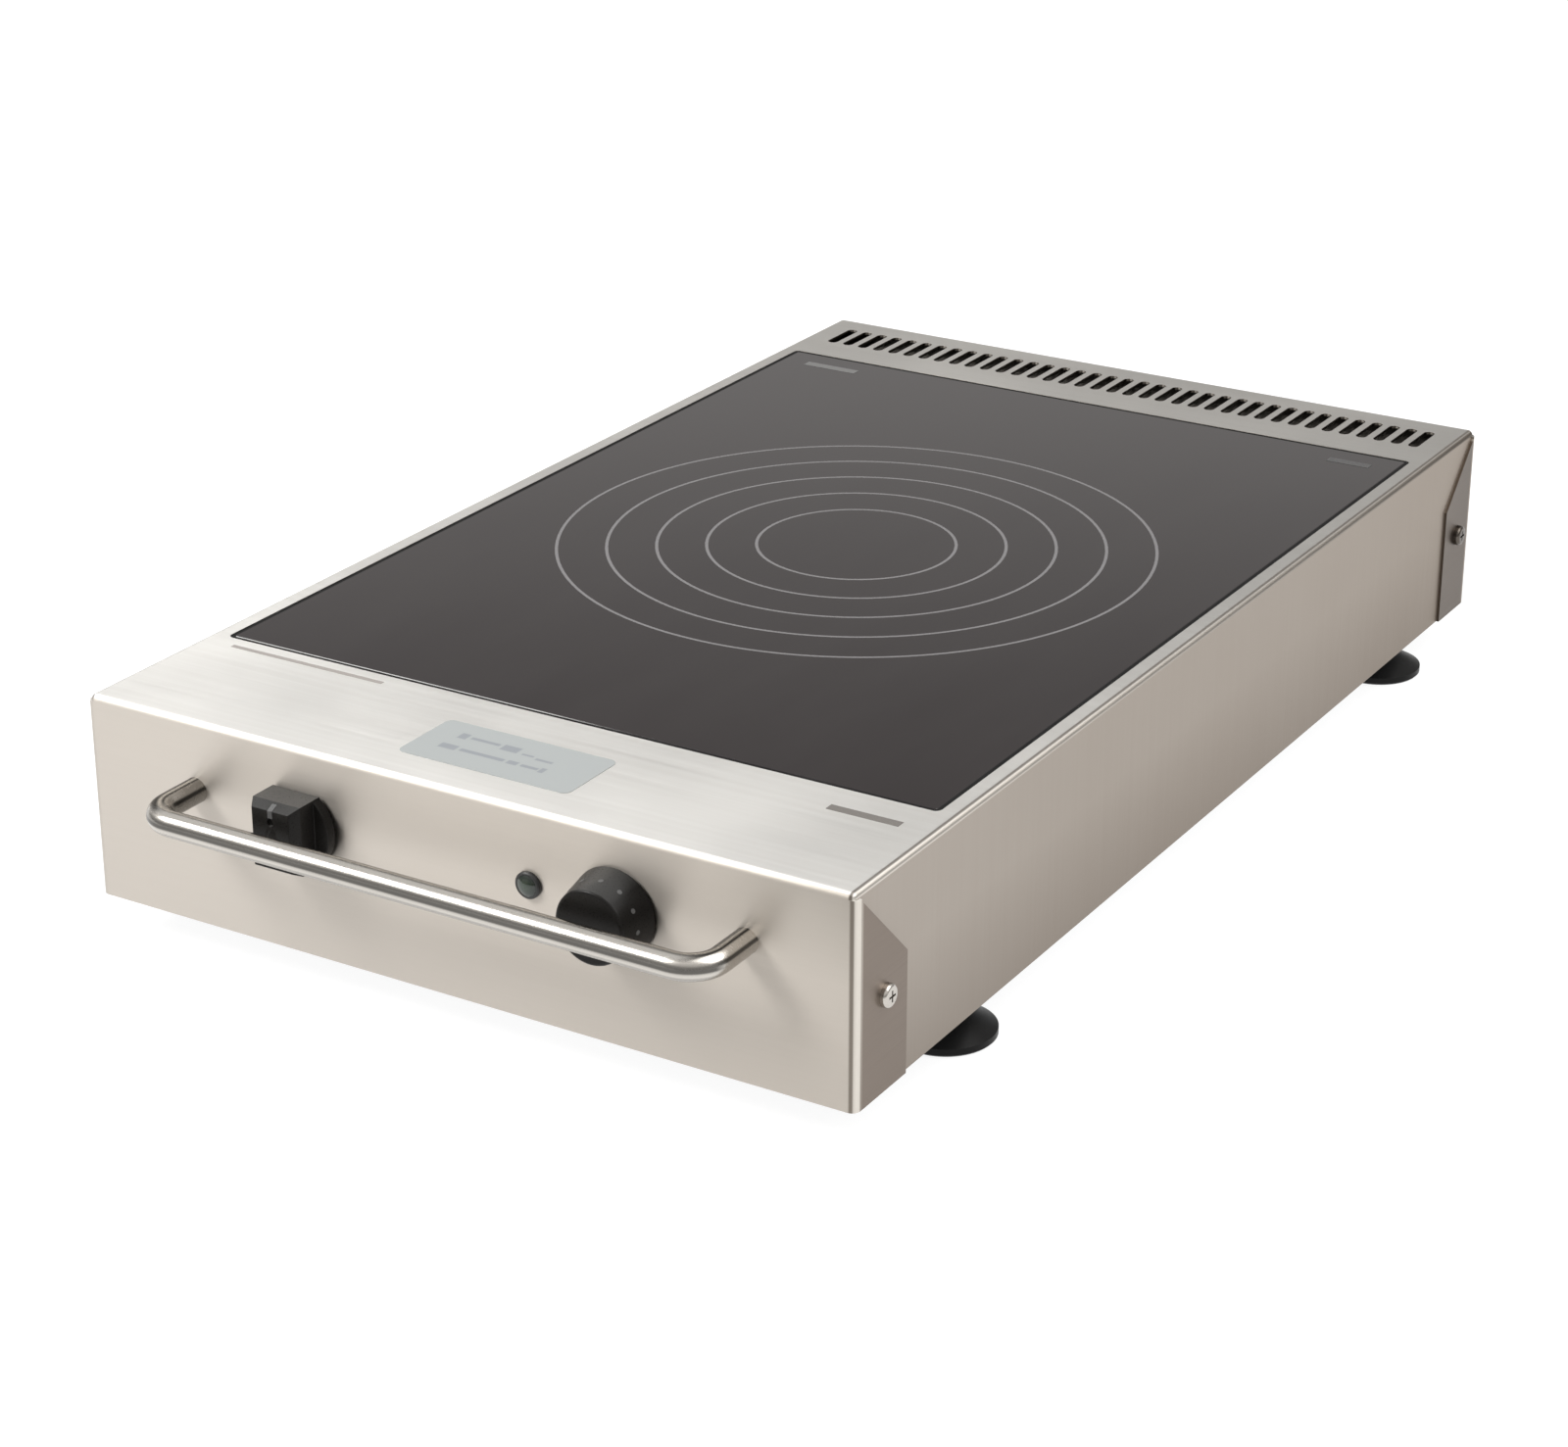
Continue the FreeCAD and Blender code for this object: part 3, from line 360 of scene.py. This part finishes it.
def inner_tone(t, colour):
    """The colour given, with painted shade inside the case and in the outlet slots, but not on the returns.
    """
    z = t.axes(t.place)[2]
    within = t.rectangle(SHEET - HALF_W, HALF_W - SHEET, FRONT_Y + SHEET, REAR_Y - SHEET)
    below_deck = t.span(z, DECK_Z - SHEET, DECK_Z - 0.7 * SHEET, 1.0, 0.0)
    above_returns = t.span(z, CASE_Z + SHEET, CASE_Z + 2 * SHEET)
    return t.blend(t.times(within, below_deck, above_returns), colour, rgb(0.07, 0.066, 0.06))


def brushed_cover():
    """Folded stainless sheet with a fine brushed grain, and painted shade and highlights that differ from
    face to face.
    """
    t = Surface("brushed_cover")
    x, y, _ = t.axes(t.place)
    flat = t.facing("True Normal")
    sideways = t.math("GREATER_THAN", t.absolute(flat[0]), STEEP)
    upright = t.math("GREATER_THAN", t.absolute(flat[1]), STEEP)
    tab = t.times(sideways, t.math("GREATER_THAN", t.absolute(x), HALF_W + 0.5 * SHEET))
    toward_rear = t.span(y, FRONT_Y, REAR_Y)

    grain = steel_grain(t, sideways, tab)
    streak = t.noise(grain, 1.0, 3.0, 0.6)
    band = t.noise(t.vector("MULTIPLY", grain, (0.12, 0.12, 0.12)), 1.0, 2.0)
    cloud = t.noise(t.place, 7.0, 3.0)

    # each face gets its painted shade and highlights: deck, aprons, side panels, tabs, folds and inside
    colour = t.blend(t.times(upright, 0.85), deck_tone(t, streak, band, toward_rear), apron_tone(t))
    colour = side_tones(t, colour, sideways, toward_rear)
    colour = tab_tones(t, colour, toward_rear)
    colour = fold_tones(t, colour, toward_rear)
    colour = inner_tone(t, colour)

    rough = t.math("ADD", t.span(streak, 0.3, 0.7, 0.35, 0.42), t.span(cloud, 0.3, 0.7, -0.03, 0.04))
    rough = t.math("ADD", rough, t.times(upright, 0.06))
    t.link(steel_tangent(t, upright, tab), t.bsdf.inputs["Tangent"])
    t.bump(streak, 0.012 * MM, 0.3)
    return t.set(Base_Color=colour, Metallic=1.0, Roughness=rough, Anisotropic=0.75)


# --- other materials -----------------------------------------------------------------------------

def sheet_metal(name, colour, dark, top_shade=0.0):
    """Rolled sheet with a faint spangle, and painted shade by the share given where it looks up."""
    t = Surface(name)
    spangle = t.node("ShaderNodeTexVoronoi")
    t.link(t.place, spangle.inputs["Vector"])
    spangle.inputs["Scale"].default_value = 160.0
    cell = t.axes(spangle.outputs["Color"])[0]
    scuff = t.noise(t.place, 60.0, 4.0)
    mixed = t.blend(t.times(cell, 0.5), colour, dark)
    # painted shade on faces that look up
    mixed = t.blend(t.span(t.facing()[2], 0.6, 0.9, 0.0, top_shade), mixed, rgb(0.05, 0.05, 0.05))
    t.bump(scuff, 0.02 * MM, 0.3)
    return t.set(Base_Color=mixed, Metallic=1.0, Roughness=t.span(cell, 0.0, 1.0, 0.34, 0.5))


def black_glass():
    """Glass ceramic, near black with a warm cast, and faint wiping marks."""
    t = Surface("black_glass")
    wipe = t.noise(t.vector("MULTIPLY", t.place, (9.0, 2.5, 1.0)), 3.0, 4.0)
    speck = t.noise(t.place, 900.0, 2.0)
    colour = t.blend(wipe, rgb(0.016, 0.0125, 0.0130), rgb(0.022, 0.0185, 0.0185))
    t.bump(speck, 0.002 * MM, 0.15)
    return t.set(Base_Color=colour, Roughness=t.span(wipe, 0.3, 0.7, 0.045, 0.10), IOR=1.52)


def plastic(name, colour, light, rough=0.38, grain=0.010, scale=1500.0, shine=0.5, lit_top=0.0):
    """Moulded plastic: spark-eroded texture with a little tone change, and painted light that makes it
    paler on top by the share given."""
    t = Surface(name)
    texture = t.noise(t.place, scale, 2.0, 0.6)
    tone = t.noise(t.place, 35.0, 3.0)
    mixed = t.blend(t.span(tone, 0.3, 0.7), colour, light)
    # painted light on faces that look up
    mixed = t.blend(t.span(t.facing()[2], 0.75, 0.95, 0.0, lit_top), mixed, rgb(0.10, 0.10, 0.098))
    t.bump(texture, grain * MM, 0.6)
    return t.set(Base_Color=mixed, Roughness=t.span(texture, 0.3, 0.7, rough - 0.05, rough + 0.08),
                 Specular_IOR_Level=shine)


def turned_metal(name, colour, dark, rough=0.22, rear=0.0):
    """Bright machined or plated steel with fine random marks, and painted shade that makes it browner
    toward the rear by the share given."""
    t = Surface(name)
    mark = t.noise(t.place, 700.0, 3.0)
    tone = t.noise(t.place, 45.0, 3.0)
    mixed = t.blend(t.span(tone, 0.35, 0.7, 0.0, 0.6), colour, dark)
    # painted shade toward the rear
    rear_shade = t.span(t.axes(t.place)[1], 0.0, REAR_Y, 0.0, rear)
    mixed = t.blend(rear_shade, mixed, rgb(0.06, 0.048, 0.038))
    t.bump(mark, 0.006 * MM, 0.5)
    return t.set(Base_Color=mixed, Metallic=1.0, Roughness=t.span(mark, 0.3, 0.7, rough - 0.05, rough + 0.06))


def polished_rod():
    """Stainless rod with a polish along its length and painted reflections: one row of tones for the
    bar across the front and one for its two arms. The arms carry a painted highlight only where they
    look right, and the left one is painted half as bright as the right one."""
    t = Surface("polished_rod")
    facing = t.facing()
    line = t.noise(t.vector("MULTIPLY", t.place, (25.0, 900.0, 900.0)), 1.0, 2.0)
    tone = t.noise(t.place, 30.0, 2.0)
    up = t.span(facing[2], -1.0, 1.0)
    # painted reflections and highlights, chosen by where each face looks
    bar = t.ramp(up, BAR_PAINTED_REFLECTION)
    arm = t.times(t.ramp(up, ARM_PAINTED_REFLECTION), t.span(facing[0], 0.26, 0.40, 0.06, 1.0))
    # painted shade: the left arm half as bright as the right one
    arm = t.times(arm, t.span(t.axes(t.place)[0], -0.1 * HALF_W, 0.1 * HALF_W, 0.5, 1.0))
    on_arm = t.times(t.span(t.absolute(facing[1]), 0.15, 0.45, 1.0, 0.0),
                     t.span(t.absolute(facing[0]), 0.05, 0.20))
    level = t.math("ADD", bar, t.times(on_arm, t.math("SUBTRACT", arm, bar)))
    level = t.times(level, t.span(tone, 0.3, 0.7, 1.0, 0.93))
    warm = t.node("ShaderNodeCombineColor")
    for socket, share in zip(warm.inputs, WARM_STEEL):
        t.feed(socket, t.times(level, share))
    t.bump(line, 0.001 * MM, 0.15)
    return t.set(Base_Color=warm.outputs[0], Metallic=1.0, Roughness=t.span(line, 0.3, 0.7, 0.24, 0.28))


def rubber(name, colour, light, shine=0.5):
    """Matt rubber or silicone with a fine grain."""
    t = Surface(name)
    grain = t.noise(t.place, 1100.0, 3.0)
    tone = t.noise(t.place, 80.0, 3.0)
    t.bump(grain, 0.015 * MM, 0.6)
    return t.set(Base_Color=t.blend(tone, colour, light), Roughness=t.span(grain, 0.3, 0.7, 0.55, 0.75),
                 Specular_IOR_Level=shine)


def ink(name, colour, worn):
    """Printed or fired colour, a little worn in specks."""
    t = Surface(name)
    speck = t.noise(t.place, 1400.0, 3.0)
    t.bump(speck, 0.004 * MM, 0.5)
    mixed = t.blend(t.span(speck, 0.45, 0.7), colour, worn)
    return t.set(Base_Color=mixed, Roughness=t.span(speck, 0.3, 0.7, 0.42, 0.6))


def printed_ink():
    """Grey ink of the plain marks: paler on the left with painted light, and darker on the glass than on the
    deck.
    """
    t = Surface("grey_ink")
    speck = t.noise(t.place, 1400.0, 3.0)
    x, y, _ = t.axes(t.place)
    # painted light: paler toward the left
    toward_right = t.span(x, -0.3 * HALF_W, 0.3 * HALF_W)
    deck = t.blend(toward_right, rgb(0.27, 0.25, 0.235), rgb(0.13, 0.12, 0.11))
    glass = t.blend(toward_right, rgb(0.13, 0.13, 0.13), rgb(0.055, 0.055, 0.057))
    colour = t.blend(t.math("GREATER_THAN", y, ZONE.y), deck, glass)
    worn = t.times(t.span(speck, 0.45, 0.7), 0.35)
    t.bump(speck, 0.004 * MM, 0.5)
    return t.set(Base_Color=t.blend(worn, colour, rgb(0.20, 0.19, 0.18)), Roughness=0.5)


def label_film():
    """Pale-blue film with two rows of plain grey bars where the words would be."""
    t = Surface("label_film")
    low = low_corner("control_label")
    high = high_corner("control_label")
    wide = high.x - low.x
    deep = high.y - low.y
    printed = 0.0
    for left, right, front, rear in UPPER_BARS + LOWER_BARS:
        bar = t.rectangle(low.x + left * wide, low.x + right * wide,
                          low.y + front * deep, low.y + rear * deep)
        printed = t.math("MAXIMUM", printed, bar)
    weave = t.noise(t.place, 1200.0, 2.0)
    film = t.blend(weave, rgb(0.30, 0.318, 0.32), rgb(0.325, 0.345, 0.345))
    colour = t.blend(t.times(printed, 0.7), film, rgb(0.19, 0.205, 0.23))
    t.bump(weave, 0.004 * MM, 0.3)
    return t.set(Base_Color=colour, Roughness=t.span(weave, 0.3, 0.7, 0.28, 0.36))


def green_lens():
    """Dark green moulded lens with pressed rings inside."""
    t = Surface("green_lens")
    x, _, z = t.axes(t.vector("SUBTRACT", t.place, tuple(LAMP)))
    radius = t.radius(x, z)
    ring = t.math("SINE", t.times(radius, 7500.0))
    colour = t.blend(t.span(radius, 0.0, LENS_FADE), rgb(0.040, 0.062, 0.042), rgb(0.012, 0.018, 0.014))
    t.bump(ring, 0.03 * MM, 0.3)
    return t.set(Base_Color=colour, Roughness=t.span(ring, -1.0, 1.0, 0.12, 0.2),
                 Transmission_Weight=0.15, Coat_Weight=0.4)


def copper_litz():
    """Enamelled copper strands, twisted round the bundle."""
    t = Surface("copper_litz")
    x, y, _ = t.axes(t.vector("SUBTRACT", t.place, tuple(ZONE)))
    angle = t.math("ARCTAN2", y, x)
    twist = t.math("ADD", t.times(angle, 260.0), t.times(t.radius(x, y), 6000.0))
    strand = t.math("SINE", twist)
    colour = t.blend(t.span(strand, -1.0, 1.0), rgb(0.32, 0.11, 0.04), rgb(0.72, 0.34, 0.17))
    t.bump(strand, 0.15 * MM, 0.7)
    return t.set(Base_Color=colour, Metallic=1.0, Roughness=t.span(strand, -1.0, 1.0, 0.45, 0.3))


def felt():
    """Loose white fibres of the insulation disc."""
    t = Surface("white_felt")
    fibre = t.noise(t.place, 500.0, 5.0, 0.7)
    t.bump(fibre, 0.25 * MM, 0.8)
    return t.set(Base_Color=t.blend(fibre, rgb(0.62, 0.60, 0.56), rgb(0.82, 0.81, 0.78)), Roughness=0.95,
                 Sheen_Weight=0.3)


def circuit_board():
    """Green solder mask over a faint pattern of straight tracks."""
    t = Surface("circuit_board")
    tracks = t.node("ShaderNodeTexBrick")
    t.link(t.place, tracks.inputs["Vector"])
    tracks.inputs["Scale"].default_value = 90.0
    for socket, tone in (("Color1", rgb(0.02, 0.16, 0.07)), ("Color2", rgb(0.015, 0.12, 0.055)),
                         ("Mortar", rgb(0.05, 0.26, 0.12))):
        tracks.inputs[socket].default_value = tone
    t.bump(tracks.outputs["Fac"], 0.03 * MM, 0.4)
    return t.set(Base_Color=tracks.outputs["Color"], Roughness=0.32, Coat_Weight=0.3)


def ferrite():
    """Dark grey sintered bars with a rough grain."""
    t = Surface("ferrite")
    grain = t.noise(t.place, 900.0, 4.0, 0.7)
    t.bump(grain, 0.03 * MM, 0.6)
    return t.set(Base_Color=t.blend(grain, rgb(0.035, 0.035, 0.038), rgb(0.08, 0.08, 0.085)), Roughness=0.55)


MATERIALS = {
    "brushed_steel": brushed_cover(),
    "galvanised_sheet": sheet_metal("galvanised_sheet", rgb(0.52, 0.53, 0.54), rgb(0.38, 0.39, 0.41),
                                    top_shade=0.85),
    "black_ceramic_glass": black_glass(),
    "grey_silicone": rubber("grey_silicone", rgb(0.006, 0.006, 0.006), rgb(0.014, 0.014, 0.014),
                            shine=0.08),
    "ring_enamel": ink("ring_enamel", rgb(0.17, 0.165, 0.17), rgb(0.12, 0.117, 0.12)),
    "grey_ink": printed_ink(),
    "label_film": label_film(),
    # rear: share of painted shade on the rear screws
    "bright_screw": turned_metal("bright_screw", rgb(0.58, 0.55, 0.51), rgb(0.42, 0.395, 0.36),
                                 rear=0.95),
    "polished_rod": polished_rod(),
    "black_knob": plastic("black_knob", rgb(0.007, 0.0065, 0.006), rgb(0.012, 0.011, 0.010),
                          rough=0.30, shine=0.15, lit_top=0.35),
    "white_inlay": ink("white_inlay", rgb(0.075, 0.075, 0.075), rgb(0.06, 0.06, 0.06)),
    "shaft_steel": turned_metal("shaft_steel", rgb(0.55, 0.54, 0.53), rgb(0.4, 0.39, 0.38)),
    "dark_housing": plastic("dark_housing", rgb(0.014, 0.014, 0.014), rgb(0.026, 0.026, 0.026),
                            rough=0.42),
    "green_lens": green_lens(),
    "copper_litz": copper_litz(),
    "coil_former": plastic("coil_former", rgb(0.42, 0.39, 0.33), rgb(0.52, 0.49, 0.43),
                           rough=0.5, grain=0.02, scale=700.0),
    "ferrite": ferrite(),
    "white_felt": felt(),
    "aluminium": sheet_metal("aluminium", rgb(0.72, 0.72, 0.73), rgb(0.62, 0.62, 0.64)),
    "sensor_ceramic": plastic("sensor_ceramic", rgb(0.70, 0.68, 0.62), rgb(0.78, 0.76, 0.71),
                              rough=0.25),
    "circuit_board": circuit_board(),
    "capacitor_box": plastic("capacitor_box", rgb(0.03, 0.06, 0.22), rgb(0.05, 0.09, 0.28),
                             rough=0.3),
    "guard_steel": turned_metal("guard_steel", rgb(0.55, 0.55, 0.55), rgb(0.42, 0.42, 0.42),
                                rough=0.3),
    "fan_wheel": plastic("fan_wheel", rgb(0.014, 0.014, 0.015), rgb(0.028, 0.028, 0.03), rough=0.4),
    "gland_nylon": plastic("gland_nylon", rgb(0.018, 0.018, 0.018), rgb(0.035, 0.035, 0.035),
                           rough=0.42),
    "gland_rubber": rubber("gland_rubber", rgb(0.012, 0.012, 0.012), rgb(0.025, 0.025, 0.025)),
    "foot_plastic": plastic("foot_plastic", rgb(0.006, 0.006, 0.006), rgb(0.011, 0.011, 0.011),
                            rough=0.34, shine=0.10),
    "stem_steel": turned_metal("stem_steel", rgb(0.55, 0.54, 0.52), rgb(0.42, 0.41, 0.40)),
}


def paint_nodes():
    """Give each carried-over CAD node the material of its slot."""
    for row in frame["record"]["subparts"]:
        mesh = NODES[row["node"]].data
        mesh.materials.clear()
        mesh.materials.append(MATERIALS[row["material_slot"]])


# --- finer edges ---------------------------------------------------------------------------------

def body_of_node(node):
    """The body that a node moves with."""
    for body, nodes in frame["record"]["behaviour"]["bodies"].items():
        if node in nodes:
            return body
    return None


def merged_mesh(node):
    """A copy of a CAD node's mesh, with flat faces joined up and shallow angles shaded smooth."""
    made = bmesh.new()
    made.from_mesh(NODES[node].data)
    bmesh.ops.remove_doubles(made, verts=made.verts, dist=MERGE_GAP)
    bmesh.ops.dissolve_limit(made, angle_limit=FLAT_ANGLE, verts=made.verts, edges=made.edges)
    mesh = bpy.data.meshes.new(node + "_eased")
    made.to_mesh(mesh)
    made.free()
    for face in mesh.polygons:
        face.use_smooth = True
    mesh.set_sharp_from_angle(angle=SHARP_ANGLE)
    return mesh


def softened(node, width):
    """A copy of a CAD node with its edges eased by width, standing in for the node."""
    slots = {row["node"]: row["material_slot"] for row in frame["record"]["subparts"]}
    mesh = merged_mesh(node)
    mesh.materials.append(MATERIALS[slots[node]])
    piece = bpy.data.objects.new(node + "_eased", mesh)
    bpy.context.scene.collection.objects.link(piece)
    ease = piece.modifiers.new("ease", "BEVEL")
    ease.width = width
    ease.segments = EASE_STEPS
    ease.limit_method = "ANGLE"
    ease.angle_limit = EASE_ANGLE
    ease.use_clamp_overlap = True
    ease.harden_normals = True
    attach(piece, body_of_node(node))
    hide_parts(node)


# --- stage ---------------------------------------------------------------------------------------

def floor():
    """Plain white paper with a glow of its own, so that only a faint shadow shows on it."""
    mesh = bpy.data.meshes.new("floor")
    made = bmesh.new()
    bmesh.ops.create_grid(made, x_segments=1, y_segments=1, size=FLOOR_HALF)
    made.to_mesh(mesh)
    made.free()
    plane = bpy.data.objects.new("floor", mesh)
    bpy.context.scene.collection.objects.link(plane)
    t = Surface("floor_paper")
    paper = t.blend(t.noise(t.place, 6.0, 2.0), rgb(0.19, 0.19, 0.19), rgb(0.21, 0.21, 0.21))
    mesh.materials.append(t.set(Base_Color=paper, Roughness=0.9, Emission_Color=rgb(1.0, 1.0, 1.0),
                                Emission_Strength=FLOOR_GLOW))


def area_light(name, place, aim, size, watts, colour):
    """A rectangular light at a place, turned to shine at its aim."""
    data = bpy.data.lights.new(name, "AREA")
    data.shape = "RECTANGLE"
    data.size, data.size_y = size
    data.energy = watts
    data.color = colour
    lamp = bpy.data.objects.new(name, data)
    lamp.location = place
    lamp.rotation_mode = "QUATERNION"
    lamp.rotation_quaternion = (Vector(aim) - Vector(place)).to_track_quat("-Z", "Y")
    bpy.context.scene.collection.objects.link(lamp)


def studio_world():
    """Soft studio surroundings: a lit sweep low at the rear left, dim walls elsewhere and a bright
    ceiling."""
    world = bpy.data.worlds.new("studio")
    world.use_nodes = True
    t = Tree(world.node_tree)
    x, y, z = t.axes(t.node("ShaderNodeTexCoord").outputs["Generated"])
    sweep = t.times(t.span(y, -0.2, 0.5, easing="SMOOTHSTEP"), t.span(x, 0.30, -0.20, easing="SMOOTHSTEP"))
    walls = t.ramp(z, WALL_TONES, WARM_WALL)
    background = t.nodes["Background"]
    t.link(t.blend(sweep, walls, t.ramp(z, SWEEP_TONES, WARM_WALL)), background.inputs["Color"])
    background.inputs["Strength"].default_value = 1.0
    bpy.context.scene.world = world


def lighting():
    """The surroundings and the area lights."""
    studio_world()
    for light in LIGHTS:
        area_light(*light)


def camera():
    """The viewing angle, lens and distance of the picture, aimed near the middle of the case."""
    back = Vector((math.sin(AZIMUTH) * math.cos(ELEVATION),
                   -math.cos(AZIMUTH) * math.cos(ELEVATION), math.sin(ELEVATION)))
    aim = (cad_box[0] + cad_box[1]) / 2 + AIM_OFFSET
    data = bpy.data.cameras.new("camera")
    data.lens = LENS_LENGTH
    data.sensor_width = SENSOR_WIDTH
    data.clip_start = 0.05
    data.clip_end = 60.0
    eye = bpy.data.objects.new("camera", data)
    eye.location = aim + back * CAMERA_DISTANCE
    eye.rotation_mode = "QUATERNION"
    eye.rotation_quaternion = (-back).to_track_quat("-Z", "Y")
    bpy.context.scene.collection.objects.link(eye)
    bpy.context.scene.camera = eye
    bpy.context.scene.view_settings.view_transform = "Standard"


paint_nodes()
for node, width in EASED:
    softened(node, width * MM)
floor()
lighting()
camera()
